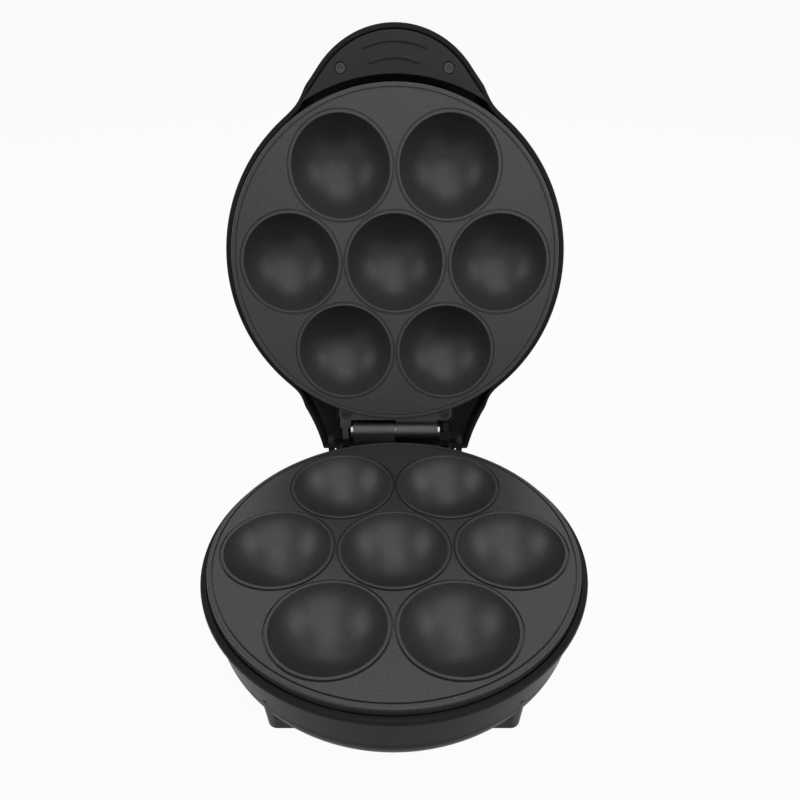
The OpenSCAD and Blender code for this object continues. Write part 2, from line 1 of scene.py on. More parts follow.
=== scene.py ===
"""Round cake pop maker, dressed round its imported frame.

Each half of the machine is drawn in its own frame in millimetres: x to the right, v across the
plate (away from the user on the base, towards the handle on the lid) and h out of the plate, with
height 0 at the crests of the rings round the cups.  A Place then carries a drawing to its seat in
the row's frame, in metres.
"""

import json
import logging
import math
from dataclasses import dataclass, field
from enum import Enum
from typing import Callable

import bmesh
import bpy
import numpy as np
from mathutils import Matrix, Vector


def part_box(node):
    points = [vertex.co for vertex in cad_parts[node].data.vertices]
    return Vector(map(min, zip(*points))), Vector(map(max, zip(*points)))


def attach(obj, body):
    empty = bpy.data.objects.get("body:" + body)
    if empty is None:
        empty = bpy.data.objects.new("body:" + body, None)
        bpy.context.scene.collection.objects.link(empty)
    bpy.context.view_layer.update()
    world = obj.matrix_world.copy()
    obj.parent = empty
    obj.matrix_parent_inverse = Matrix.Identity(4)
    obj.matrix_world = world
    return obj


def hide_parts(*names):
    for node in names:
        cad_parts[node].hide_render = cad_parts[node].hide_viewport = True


MM = 0.001
TURN = 2.0 * math.pi
LOG = logging.getLogger("cake_pop_maker")

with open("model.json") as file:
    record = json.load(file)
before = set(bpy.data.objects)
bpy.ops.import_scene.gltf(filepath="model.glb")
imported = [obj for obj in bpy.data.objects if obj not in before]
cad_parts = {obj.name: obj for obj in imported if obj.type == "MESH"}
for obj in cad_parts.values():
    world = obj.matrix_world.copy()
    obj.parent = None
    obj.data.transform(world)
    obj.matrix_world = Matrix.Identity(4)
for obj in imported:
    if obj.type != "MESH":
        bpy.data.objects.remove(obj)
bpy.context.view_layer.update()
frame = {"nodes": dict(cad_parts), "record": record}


class Body(str, Enum):
    """The two bodies that the hinge joins."""

    BASE = "base"
    LID = "lid"


def linear(hex_colour: str) -> tuple[float, float, float, float]:
    """Turn an sRGB hex colour into linear values.

    Args:
        hex_colour: six hex digits after a hash.

    Returns:
        Linear red, green and blue, and an alpha of 1.
    """
    values = np.array([int(hex_colour[i:i + 2], 16) for i in (1, 3, 5)]) / 255.0
    low, high = values / 12.92, ((values + 0.055) / 1.055) ** 2.4
    red, green, blue = np.where(values <= 0.04045, low, high)
    return float(red), float(green), float(blue), 1.0


def smoothstep(value: np.ndarray, start: float, end: float) -> np.ndarray:
    """Rise smoothly from 0 at start to 1 at end, as 3t squared less 2t cubed."""
    t = np.clip((value - start) / (end - start), 0.0, 1.0)
    return t * t * (3.0 - 2.0 * t)


def soft_max(first: np.ndarray, second: np.ndarray, reach: float) -> np.ndarray:
    """Take the larger of two heights, rounded where they are within reach of each other."""
    near = np.maximum(reach - np.abs(first - second), 0.0)
    return np.maximum(first, second) + near * near / (4.0 * reach)


def fillet(corners: list[tuple[float, float, float]], steps: int = 6) -> np.ndarray:
    """Round the corners of a profile.

    Each corner is replaced by the circular arc that touches both of its legs.

    Args:
        corners: radius, height and rounding radius of each corner; the ends stay sharp.
        steps: points on each arc.

    Returns:
        The profile as an array of radius and height.
    """
    places = np.array([c[:2] for c in corners])
    pieces = [places[:1]]
    for i in range(1, len(corners) - 1):
        to_last, to_next = places[i - 1] - places[i], places[i + 1] - places[i]
        a, b = to_last / np.linalg.norm(to_last), to_next / np.linalg.norm(to_next)
        half = 0.5 * math.acos(float(np.clip(a @ b, -1.0, 1.0)))
        if corners[i][2] <= 0.0 or half > math.pi / 2 - 1e-3:
            pieces.append(places[i:i + 1])
            continue
        room = 0.49 * min(np.linalg.norm(to_last), np.linalg.norm(to_next))
        back = min(corners[i][2] / math.tan(half), room)
        middle = (a + b) / np.linalg.norm(a + b)
        centre = places[i] + middle * back / math.cos(half)
        start, end = places[i] + a * back - centre, places[i] + b * back - centre
        sweep = math.atan2(start[0] * end[1] - start[1] * end[0], start @ end)
        t = np.linspace(0.0, sweep, steps)
        turned = np.outer(np.cos(t), start) + np.outer(np.sin(t), [-start[1], start[0]])
        pieces.append(centre + turned)
    pieces.append(places[-1:])
    return np.concatenate(pieces)


@dataclass(frozen=True)
class Place:
    """Where a drawing frame lies: its turn and its origin in the row's frame, in metres."""

    turn: np.ndarray
    origin: np.ndarray
    body: Body

    def carry(self, points: np.ndarray) -> np.ndarray:
        """Carry drawing points in mm, of any array shape ending in 3, to the row's frame."""
        return points @ self.turn.T * MM + self.origin


@dataclass
class Patch:
    """A grid of points on a surface, with rows and columns that may close on themselves."""

    points: np.ndarray
    wrap_rows: bool = False
    wrap_columns: bool = False
    flip: bool = False

    def quads(self) -> np.ndarray:
        """Give the four corner indices of every cell of the grid."""
        rows, columns = self.points.shape[:2]
        r = np.arange(rows if self.wrap_rows else rows - 1)
        c = np.arange(columns if self.wrap_columns else columns - 1)
        rr, cc = np.meshgrid(r, c, indexing="ij")
        r2, c2 = (rr + 1) % rows, (cc + 1) % columns
        corners = [rr * columns + cc, r2 * columns + cc, r2 * columns + c2, rr * columns + c2]
        faces = np.stack(corners, axis=-1).reshape(-1, 4)
        return faces[:, ::-1] if self.flip else faces


def spin(profile: np.ndarray, columns: int, centre: tuple[float, float] = (0.0, 0.0),
         flip: bool = False) -> Patch:
    """Turn a profile of radius and height about an upright axis.

    Args:
        profile: radius and height of each row.
        columns: points round the axis.
        centre: where the axis stands.
        flip: True where the profile runs so that faces would point inwards.

    Returns:
        A patch closed round the axis.
    """
    a = np.arange(columns) * TURN / columns
    x = centre[0] + np.outer(profile[:, 0], np.cos(a))
    v = centre[1] + np.outer(profile[:, 0], np.sin(a))
    h = np.repeat(profile[:, 1:2], columns, axis=1)
    return Patch(np.stack([x, v, h], axis=-1), wrap_columns=True, flip=flip)


def rounded_box(low: tuple[float, float, float], high: tuple[float, float, float],
                radius: float, steps: int = 5) -> Patch:
    """Make a box whose edges and corners are parts of a ball.

    A point on a ball is pushed out to the box's inner corner of the same sign, so the eight
    octants of the ball become the corners and the cells between them stretch into the faces.

    Args:
        low: lowest corner.
        high: highest corner.
        radius: rounding radius.
        steps: points on each quarter turn.

    Returns:
        A closed patch.
    """
    quarter = np.linspace(0.0, math.pi / 2, steps)
    around = np.concatenate([quarter + i * math.pi / 2 for i in range(4)])
    signs_x = np.repeat([1.0, -1.0, -1.0, 1.0], steps)
    signs_v = np.repeat([1.0, 1.0, -1.0, -1.0], steps)
    up = np.concatenate([quarter - math.pi / 2, quarter])
    signs_h = np.repeat([-1.0, 1.0], steps)
    middle = (np.array(low) + np.array(high)) / 2
    inner = (np.array(high) - np.array(low)) / 2 - radius
    x = radius * np.outer(np.cos(up), np.cos(around)) + inner[0] * signs_x
    v = radius * np.outer(np.cos(up), np.sin(around)) + inner[1] * signs_v
    h = radius * np.sin(up)[:, None] + (inner[2] * signs_h)[:, None] + np.zeros_like(x)
    ends = [np.stack([np.zeros_like(x[0]), np.zeros_like(v[0]), h[i]], axis=-1) for i in (0, -1)]
    body = np.stack([x, v, h], axis=-1)
    return Patch(np.concatenate([ends[0][None], body, ends[1][None]]) + middle,
                 wrap_columns=True, flip=True)


def add_node(tree: bpy.types.NodeTree, kind: str, settings: dict[str, object] | None = None,
             links: dict[str, bpy.types.NodeSocket] | None = None) -> bpy.types.Node:
    """Add one shader node.

    Args:
        tree: the material's or world's node tree.
        kind: the node's Blender type name.
        settings: values of the node's properties, or of its inputs where it has no such property.
        links: sockets that feed its inputs.

    Returns:
        The new node.
    """
    node = tree.nodes.new(kind)
    for key, value in (settings or {}).items():
        if key in node.inputs:
            node.inputs[key].default_value = value
        else:
            setattr(node, key, value)
    for key, socket in (links or {}).items():
        tree.links.new(socket, node.inputs[key])
    return node


@dataclass(frozen=True)
class Finish:
    """A surface finish: its colour, how it meets the light, and its grain at real size."""

    name: str
    colour: str
    roughness: float
    metallic: float = 0.0
    ior: float = 1.5
    specular: float = 0.5
    grain_mm: float = 0.5
    grain_depth_mm: float = 0.01
    tone: float = 0.08
    cloud_mm: float = 25.0
    stretch: tuple[float, float, float] = (1.0, 1.0, 1.0)
    fleck: float = 0.0
    fleck_mm: float = 0.7
    transmission: float = 0.0

    def material(self) -> bpy.types.Material:
        """Build the finish's material once and give it back.

        A fine noise roughens the surface, a slow noise shifts tone and gloss, and flecks lighten
        the cells of a fine cell pattern where the finish has them.

        Returns:
            The material.
        """
        known = bpy.data.materials.get(self.name)
        if known:
            return known
        made = bpy.data.materials.new(self.name)
        made.use_nodes = True
        tree = made.node_tree
        tree.nodes.clear()
        place = add_node(tree, "ShaderNodeTexCoord").outputs["Object"]
        grain = add_node(tree, "ShaderNodeMapping", {"Scale": self.stretch}, {"Vector": place})
        fine = add_node(tree, "ShaderNodeTexNoise",
                        {"Scale": 1.0 / (self.grain_mm * MM), "Detail": 3.0},
                        {"Vector": grain.outputs["Vector"]})
        cloud = add_node(tree, "ShaderNodeTexNoise",
                         {"Scale": 1.0 / (self.cloud_mm * MM), "Detail": 4.0}, {"Vector": place})
        tone = add_node(tree, "ShaderNodeMapRange",
                        {"To Min": 1.0 - self.tone, "To Max": 1.0 + self.tone},
                        {"Value": cloud.outputs["Fac"]})
        shade = add_node(tree, "ShaderNodeHueSaturation", {"Color": linear(self.colour)},
                         {"Value": tone.outputs["Result"]})
        colour = shade.outputs["Color"]
        if self.fleck > 0.0:
            cells = add_node(tree, "ShaderNodeTexVoronoi", {"Scale": 1.0 / (self.fleck_mm * MM)},
                             {"Vector": place})
            light = add_node(tree, "ShaderNodeMapRange",
                             {"From Min": 0.05, "From Max": 0.35, "To Min": self.fleck,
                              "To Max": 0.0}, {"Value": cells.outputs["Distance"]})
            mix = add_node(tree, "ShaderNodeMix", {"data_type": "RGBA"})
            tree.links.new(light.outputs["Result"], mix.inputs[0])
            tree.links.new(colour, mix.inputs[6])
            mix.inputs[7].default_value = linear("#c8c8cc")
            colour = mix.outputs[2]
        gloss = add_node(tree, "ShaderNodeMapRange",
                         {"From Min": 0.3, "From Max": 0.7, "To Min": self.roughness * 0.9,
                          "To Max": min(1.0, self.roughness * 1.12)},
                         {"Value": fine.outputs["Fac"]})
        bump = add_node(tree, "ShaderNodeBump",
                        {"Strength": 0.6, "Distance": self.grain_depth_mm * MM},
                        {"Height": fine.outputs["Fac"]})
        shader = add_node(tree, "ShaderNodeBsdfPrincipled",
                          {"Metallic": self.metallic, "IOR": self.ior,
                           "Specular IOR Level": self.specular,
                           "Transmission Weight": self.transmission},
                          {"Base Color": colour, "Roughness": gloss.outputs["Result"],
                           "Normal": bump.outputs["Normal"]})
        add_node(tree, "ShaderNodeOutputMaterial", None, {"Surface": shader.outputs["BSDF"]})
        return made


# Sprayed non-stick coating on cast aluminium: dark grey, fine orange peel, faint light specks
NON_STICK = Finish("sprayed_non_stick_coating", "#292929", 0.36, specular=0.27, grain_mm=0.9,
                   grain_depth_mm=0.06, tone=0.06, fleck=0.08, fleck_mm=0.7)
# Glass-filled nylon housing, spark-eroded mould: near black with a soft, even grain
GRAINED_NYLON = Finish("grained_black_nylon", "#1d1d1d", 0.34, specular=0.035, grain_mm=0.5,
                       grain_depth_mm=0.03, tone=0.06)
# Smoother moulding of the same nylon on the covers
FINE_NYLON = Finish("fine_black_nylon", "#262626", 0.4, specular=0.08, grain_mm=0.45,
                    grain_depth_mm=0.015, tone=0.05)
# Steel strip with a dark plating, rolled along its length
DARK_PLATED_STEEL = Finish("dark_plated_steel", "#3d3d3d", 0.5, metallic=1.0, grain_mm=0.8,
                           grain_depth_mm=0.02, stretch=(0.3, 1.0, 1.0), tone=0.2, cloud_mm=6.0)
# Turned steel of the pin, satin
TURNED_STEEL = Finish("turned_pin_steel", "#8f9093", 0.3, metallic=1.0, grain_mm=0.3,
                      grain_depth_mm=0.004, stretch=(1.0, 0.2, 0.2))
# Black oxide on the small screws, oily and dark
BLACK_OXIDE = Finish("black_oxide_screw", "#2f2f2f", 0.36, metallic=1.0, grain_mm=0.3,
                     grain_depth_mm=0.006, tone=0.15)
# Bright zinc on the hidden screws
BRIGHT_ZINC = Finish("bright_zinc_screw", "#a9acb0", 0.28, metallic=1.0, grain_mm=0.4,
                     grain_depth_mm=0.005, tone=0.1)
# Plain rolled sheet under the cups
ROLLED_STEEL = Finish("rolled_steel_sheet", "#a4a6a9", 0.34, metallic=1.0, grain_mm=0.5,
                      grain_depth_mm=0.005, stretch=(0.1, 1.0, 1.0), tone=0.08)
ROLLED_ALUMINIUM = Finish("rolled_aluminium_sheet", "#b7b9bc", 0.4, metallic=1.0, grain_mm=0.5,
                          grain_depth_mm=0.005, stretch=(0.1, 1.0, 1.0), tone=0.06)
# Element sheath, oxidised by heat
OXIDISED_SHEATH = Finish("oxidised_element_sheath", "#6a6458", 0.55, metallic=1.0, grain_mm=0.6,
                         grain_depth_mm=0.02, tone=0.25)
# Moulded nitrile rubber
MOULDED_RUBBER = Finish("moulded_nitrile_rubber", "#151515", 0.72, ior=1.52, grain_mm=0.6,
                        grain_depth_mm=0.03, tone=0.08)
# Off-white heat-proof mouldings inside
PALE_NYLON = Finish("pale_heat_proof_nylon", "#d9d4c6", 0.5, ior=1.5, grain_mm=0.5, tone=0.04)
PALE_CERAMIC = Finish("pale_ceramic_sleeve", "#c9bfa4", 0.45, ior=1.55, grain_mm=0.4, tone=0.08)
# Clear tinted polycarbonate of the lamp lenses
RED_LENS = Finish("tinted_red_polycarbonate", "#a5150f", 0.12, ior=1.58, grain_mm=1.5,
                  grain_depth_mm=0.004, tone=0.02, transmission=0.35)
GREEN_LENS = Finish("tinted_green_polycarbonate", "#1f7a35", 0.12, ior=1.58, grain_mm=1.5,
                    grain_depth_mm=0.004, tone=0.02, transmission=0.35)


def mesh_from(name: str, place: Place, patches: list[Patch]) -> bpy.types.Mesh:
    """Put patches into one mesh at their place in the row's frame.

    Args:
        name: the mesh's name.
        place: where the drawing frame lies.
        patches: grids of points in the drawing frame.

    Returns:
        The mesh, with its seams and poles welded.
    """
    starts = np.cumsum([0] + [p.points.shape[0] * p.points.shape[1] for p in patches])
    points = place.carry(np.concatenate([p.points.reshape(-1, 3) for p in patches]))
    faces = np.concatenate([p.quads() + start for p, start in zip(patches, starts)])
    mesh = bpy.data.meshes.new(name)
    mesh.vertices.add(len(points))
    mesh.vertices.foreach_set("co", points.astype(np.float32).ravel())
    mesh.loops.add(faces.size)
    mesh.loops.foreach_set("vertex_index", faces.astype(np.int32).ravel())
    mesh.polygons.add(len(faces))
    mesh.polygons.foreach_set("loop_start", np.arange(len(faces), dtype=np.int32) * 4)
    mesh.update(calc_edges=True)
    mesh.validate()
    weld(mesh)
    return mesh


def weld(mesh: bpy.types.Mesh, reach: float = 2e-6, recalculate: bool = False) -> None:
    """Merge the points of a mesh that share a place, and drop what that leaves without area."""
    work = bmesh.new()
    work.from_mesh(mesh)
    bmesh.ops.remove_doubles(work, verts=work.verts, dist=reach)
    bmesh.ops.dissolve_degenerate(work, edges=work.edges, dist=reach / 4)
    if recalculate:
        bmesh.ops.recalc_face_normals(work, faces=work.faces)
    work.to_mesh(mesh)
    work.free()


def shade(mesh: bpy.types.Mesh, sharp_deg: float) -> None:
    """Shade a mesh smooth, with edges sharper than the angle kept crisp."""
    own = mesh.attributes.get("custom_normal")
    if own:
        mesh.attributes.remove(own)
    work = bmesh.new()
    work.from_mesh(mesh)
    for face in work.faces:
        face.smooth = True
    for edge in work.edges:
        edge.smooth = edge.calc_face_angle(math.pi) < math.radians(sharp_deg)
    work.to_mesh(mesh)
    work.free()


def register(piece: bpy.types.Object, place: Body, finish: Finish,
             nodes: tuple[str, ...]) -> bpy.types.Object:
    """Give a new piece its finish and its body, and hide the CAD nodes that it stands for."""
    piece.data.materials.clear()
    piece.data.materials.append(finish.material())
    if piece.name not in bpy.context.scene.objects:
        bpy.context.scene.collection.objects.link(piece)
    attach(piece, place.value)
    if nodes:
        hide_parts(*nodes)
    LOG.info("%s: %d faces", piece.name, len(piece.data.polygons))
    return piece


def build(name: str, place: Place, patches: list[Patch], finish: Finish,
          nodes: tuple[str, ...] = (), sharp_deg: float = 40.0) -> bpy.types.Object:
    """Make a piece from patches and register it."""
    mesh = mesh_from(name, place, patches)
    shade(mesh, sharp_deg)
    return register(bpy.data.objects.new(name, mesh), place.body, finish, nodes)


def smooth_copy(node: str, name: str, body: Body, finish: Finish,
                edge_mm: float = 0.0) -> bpy.types.Object:
    """Stand a welded, smoothly shaded copy of a CAD solid in its place.

    Args:
        node: the CAD node.
        name: the copy's name.
        body: the body it rides on.
        finish: its finish.
        edge_mm: width of the small round along its sharp edges, or 0 for none.

    Returns:
        The copy.
    """
    mesh = frame["nodes"][node].data.copy()
    mesh.name = name
    weld(mesh, reach=1e-6)
    shade(mesh, 32.0)
    piece = bpy.data.objects.new(name, mesh)
    level = piece.modifiers.new("flat_faces_stay_flat", "WEIGHTED_NORMAL")
    level.keep_sharp = True
    level.weight = 100
    if edge_mm > 0.0:
        bevel = piece.modifiers.new("edge_round", "BEVEL")
        bevel.width = edge_mm * MM
        bevel.segments = 2
        bevel.limit_method = "ANGLE"
        bevel.angle_limit = math.radians(40.0)
    return register(piece, body, finish, (node,))


def bore(piece: bpy.types.Object, place: Place, holes: list[Patch]) -> None:
    """Cut holes out of a piece's mesh.

    Args:
        piece: the piece, its mesh one closed solid.
        place: where the drawing frame lies.
        holes: closed solids of revolution in the drawing frame, apart from one another.
    """
    plugs = mesh_from("hole_plugs", place, holes)
    weld(plugs, recalculate=True)
    tool = bpy.data.objects.new("hole_tool", plugs)
    bpy.context.scene.collection.objects.link(tool)
    cut = piece.modifiers.new("holes", "BOOLEAN")
    cut.object, cut.operation, cut.solver = tool, "DIFFERENCE", "EXACT"
    graph = bpy.context.evaluated_depsgraph_get()
    mesh = bpy.data.meshes.new_from_object(piece.evaluated_get(graph))
    piece.modifiers.remove(cut)
    LOG.info("%s: %d faces with %d holes", piece.name, len(mesh.polygons), len(holes))
    piece.data = mesh
    bpy.data.objects.remove(tool)


def keep(node: str, finish: Finish) -> None:
    """Give a CAD node that keeps its own mesh a finish."""
    solid = frame["nodes"][node]
    solid.data.materials.clear()
    solid.data.materials.append(finish.material())


@dataclass
class CookingPlate:
    """Cast plate with one cup in the middle and six round it, each with a raised ring."""

    name: str
    node: str
    place: Place
    pitch: float = 60.0
    ball_r: float = 28.4
    depth: float = 21.0
    wall: float = 2.4
    land_h: float = -0.6
    thick: float = 2.6
    ring_w: float = 1.5
    groove_w: float = 0.85
    groove_depth: float = 1.0
    rim_groove_w: float = 0.85
    rim_r: float = 91.5
    outer_r: float = 94.7
    edge_h: float = 5.2
    boss_at: float = 70.0
    boss_r: float = 4.6
    boss_end: float = -28.4
    columns: int = 144
    bearings: tuple[float, ...] = (0.0, 60.0, 120.0, 180.0, 240.0, 300.0)

    def centres(self) -> list[np.ndarray]:
        """Give the middle of each cup, the central one first."""
        turns = np.radians(self.bearings)
        outer = [self.pitch * np.array([math.cos(a), math.sin(a)]) for a in turns]
        return [np.zeros(2)] + outer

    def edge(self, centre: np.ndarray, turns: np.ndarray) -> np.ndarray:
        """Distance from a cup's middle to the edge of its own share of the plate.

        The share ends halfway to each neighbouring cup and at the rim's circle: each limit is
        half the pitch over the cosine of the angle to that neighbour, or the far root of the
        line's crossing with the circle.

        Args:
            centre: the cup's middle.
            turns: directions from it.

        Returns:
            The distance in each direction.
        """
        along = np.stack([np.cos(turns), np.sin(turns)])
        reach = centre @ along
        limit = -reach + np.sqrt(reach ** 2 - centre @ centre + self.rim_r ** 2)
        for other in self.centres():
            gap = other - centre
            span = np.linalg.norm(gap)
            if 0.0 < span < 1.01 * self.pitch:
                facing = np.maximum((gap / span) @ along, 1e-6)
                limit = np.minimum(limit, span / 2.0 / facing)
        return limit

    def turns(self, centre: np.ndarray) -> np.ndarray:
        """Directions of a cup's columns, with its two corners on the rim among them."""
        even = np.arange(self.columns) * TURN / self.columns
        if not centre.any():
            return even
        corner = math.atan2(self.rim_r / 2.0, self.rim_r * math.cos(math.pi / 6) - self.pitch)
        facing = math.atan2(centre[1], centre[0])
        return np.sort(np.concatenate([even, (facing + np.array([corner, -corner])) % TURN]))

    def cup_profile(self) -> np.ndarray:
        """Section from a cup's middle over its ring to just outside its groove."""
        ball_h = self.ball_r - self.depth
        mouth = math.sqrt(self.ball_r ** 2 - ball_h ** 2)
        out = mouth + self.ring_w
        steep = math.acos((ball_h + 0.55) / self.ball_r)
        a = np.linspace(0.0, steep, 30)
        bowl = np.stack([self.ball_r * np.sin(a), ball_h - self.ball_r * np.cos(a)], axis=1)
        low = self.land_h - self.groove_depth
        ring = fillet([(bowl[-1, 0], bowl[-1, 1], 0.0), (mouth + 0.05, 0.0, 0.3),
                       (out - 0.05, 0.0, 0.3), (out, low, 0.1),
                       (out + self.groove_w, low, 0.1), (out + self.groove_w, self.land_h, 0.12),
                       (out + self.groove_w + 0.2, self.land_h, 0.0)], steps=5)
        return np.concatenate([bowl[:-1], ring])

    def share(self, centre: np.ndarray, profile: np.ndarray, flip: bool) -> Patch:
        """Spread a section round a cup and carry its last height on to the share's edge."""
        turns = self.turns(centre)
        edge = self.edge(centre, turns)
        inner = np.repeat(profile[:, :1], len(turns), axis=1)
        blend = np.array([0.35, 1.0])[:, None]
        land = profile[-1, 0] * (1.0 - blend) + edge[None] * blend
        radius = np.concatenate([inner, land])
        height = np.concatenate([profile[:, 1], np.full(2, profile[-1, 1])])[:, None]
        x = centre[0] + radius * np.cos(turns)
        v = centre[1] + radius * np.sin(turns)
        return Patch(np.stack([x, v, height + 0.0 * x], axis=-1), wrap_columns=True, flip=flip)

    def under_profile(self) -> np.ndarray:
        """Section of a cup's underside, from its middle to the plate's flat back."""
        ball_h = self.ball_r - self.depth
        outer = self.ball_r + self.wall
        back = self.land_h - self.thick
        a = np.linspace(0.0, math.acos((ball_h - back) / outer), 18)
        return np.stack([outer * np.sin(a), ball_h - outer * np.cos(a)], axis=1)

    def rim(self) -> Patch:
        """Fine groove, rim band, rounded edge and skirt, on the columns where the cups' shares end."""
        around = []
        for centre in self.centres()[1:]:
            turns = self.turns(centre)
            edge = self.edge(centre, turns)
            x, v = centre[0] + edge * np.cos(turns), centre[1] + edge * np.sin(turns)
            at_rim = np.abs(np.hypot(x, v) - self.rim_r) < 1e-6
            around.append(np.arctan2(v[at_rim], x[at_rim]) % TURN)
        around = np.sort(np.concatenate(around))
        around = around[np.append(True, np.diff(around) > 1e-6)]
        low = self.land_h - self.groove_depth
        back = self.land_h - self.thick
        skirt = self.outer_r - 2.6
        far = self.rim_r + self.rim_groove_w
        path = fillet([(self.rim_r, self.land_h, 0.0), (self.rim_r, low, 0.1), (far, low, 0.1),
                       (far, self.land_h, 0.12),
                       (self.outer_r, self.land_h, 0.75), (self.outer_r, -self.edge_h, 0.35),
                       (skirt, -self.edge_h, 0.35), (skirt, back, 0.3), (self.rim_r, back, 0.0)])
        x, v = np.outer(path[:, 0], np.cos(around)), np.outer(path[:, 0], np.sin(around))
        height = np.repeat(path[:, 1:], len(around), axis=1)
        return Patch(np.stack([x, v, height], axis=-1), wrap_columns=True)

    def bosses(self) -> list[Patch]:
        """Three blind-drilled posts under the plate."""
        path = fillet([(0.0, self.boss_end + 14.0, 0.0), (1.7, self.boss_end + 14.0, 0.0),
                       (1.7, self.boss_end, 0.3), (self.boss_r, self.boss_end, 0.4),
                       (self.boss_r, self.land_h - 1.0, 0.0), (0.0, self.land_h - 1.0, 0.0)], 4)
        turns = np.radians([30.0, 150.0, 270.0])
        return [spin(path, 32, (self.boss_at * math.cos(a), self.boss_at * math.sin(a)))
                for a in turns]

    def make(self) -> bpy.types.Object:
        """Build the plate and hide the CAD node that it stands for."""
        top, under = self.cup_profile(), self.under_profile()
        patches = [self.share(c, top, False) for c in self.centres()]
        patches += [self.share(c, under, True) for c in self.centres()]
        patches += [self.rim()] + self.bosses()
        return build(self.name, self.place, patches, NON_STICK, (self.node,),
                     sharp_deg=55.0)


@dataclass
class Outline:
    """The lid's outline: a circle with a round-ended handle and a squared rear skirt.

    Angles count from the handle's middle line, and the outline is the same on both sides.
    """

    circle_r: float = 98.4
    tip: float = 123.1
    tip_r: float = 51.2
    blend_r: float = 290.0
    skirt_r: float = 105.4
    skirt_deg: float = 46.85
    back: float = 116.0
    corner_r: float = 1.2

    def reach(self, turns: np.ndarray, inset: float) -> np.ndarray:
        """Distance from the lid's middle to the outline, moved in by an inset.

        Each stretch is where a line from the middle crosses its circle: C.e plus or minus the
        root of (C.e) squared less C squared plus R squared, with C the circle's middle and e the
        line's direction.

        Args:
            turns: angles from the handle's middle line.
            inset: how far inside the outline.

        Returns:
            The distance at each angle.
        """
        t = np.abs((turns + math.pi) % TURN - math.pi)
        along = np.stack([np.sin(t), np.cos(t)])
        tip_at = np.array([0.0, self.tip - self.tip_r])
        far = self.circle_r + self.blend_r
        blend_v = (far ** 2 - (self.tip_r + self.blend_r) ** 2 + tip_at[1] ** 2) / (2 * tip_at[1])
        blend_at = np.array([math.sqrt(far ** 2 - blend_v ** 2), blend_v])
        skirt_deg = math.radians(180.0 - self.skirt_deg)
        skirt_at = (self.circle_r + self.skirt_r) * np.array([math.sin(skirt_deg),
                                                              math.cos(skirt_deg)])
        corner_v = -self.back + self.corner_r
        corner_x = skirt_at[0] - math.sqrt((self.skirt_r + self.corner_r) ** 2
                                           - (corner_v - skirt_at[1]) ** 2)
        corner_at = np.array([corner_x, corner_v])

        def crossing(middle: np.ndarray, radius: float, side: float) -> np.ndarray:
            """Near (-1) or far (+1) crossing of each line with a circle."""
            ahead = middle @ along
            return ahead + side * np.sqrt(np.maximum(ahead ** 2 - middle @ middle + radius ** 2, 0))

        def joint(first: np.ndarray, radius: float, second: np.ndarray) -> float:
            """Angle at which the arc round first meets the arc round second."""
            towards = (second - first) / np.linalg.norm(second - first)
            meet = first + radius * towards
            return math.atan2(meet[0], meet[1])

        ends = [joint(tip_at, self.tip_r - inset, blend_at),
                math.atan2(blend_at[0], blend_at[1]), skirt_deg,
                joint(corner_at, self.corner_r - inset, skirt_at),
                math.atan2(corner_at[0], -self.back + inset)]
        stretches = [crossing(tip_at, self.tip_r - inset, 1.0),
                     crossing(blend_at, self.blend_r + inset, -1.0),
                     np.full_like(t, self.circle_r - inset),
                     crossing(skirt_at, self.skirt_r + inset, -1.0),
                     crossing(corner_at, max(self.corner_r - inset, 0.5), 1.0)]
        last = (-self.back + inset) / np.minimum(along[1], -1e-6)
        return np.select([t <= end for end in ends], stretches, last)

    def turns(self, count: int) -> np.ndarray:
        """Angles of the columns, closer together where the outline turns quickly."""
        even = np.linspace(0.0, math.pi, 4000)
        x, v = self.reach(even, 0.0) * np.sin(even), self.reach(even, 0.0) * np.cos(even)
        step = np.hypot(np.diff(x), np.diff(v))
        heading = np.unwrap(np.arctan2(np.diff(v), np.diff(x)))
        turning = np.abs(np.gradient(heading))
        share = np.append(0.0, np.cumsum(step + 22.0 * turning))
        half = np.interp(np.linspace(0.0, share[-1], count // 2 + 1), share, even)
        return np.concatenate([half, -half[-2:0:-1]])


